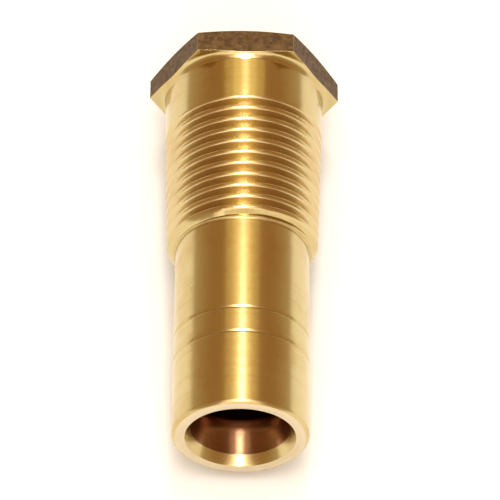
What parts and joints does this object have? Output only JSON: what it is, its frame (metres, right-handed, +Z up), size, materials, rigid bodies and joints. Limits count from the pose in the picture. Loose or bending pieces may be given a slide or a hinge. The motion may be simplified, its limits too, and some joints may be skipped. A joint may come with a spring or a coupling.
{
  "type": "threaded pipe nipple",
  "caption": "Brass threaded pipe nipple: hexagon head, taper pipe thread and a long smooth tube with two depth rings and a countersunk bore.",
  "frame": {"origin": "on the surface that the nipple lies on, below the middle of its length", "axes": "+Z up, +Y along the bore from the open mouth of the tube to the hexagon, +X across"},
  "size_m": [0.0266, 0.0592, 0.023],
  "materials": {
    "turned_brass_bushing": "turned bright, dull on the hexagon flats",
    "turned_brass_tube": "fine turned, bright",
    "brazing_metal": "smooth, slightly dull"
  },
  "bodies": {
    "root": {"hex_bushing": "turned_brass_bushing", "spigot_tube": "turned_brass_tube", "braze_ring": "brazing_metal"}
  },
  "joints": []
}
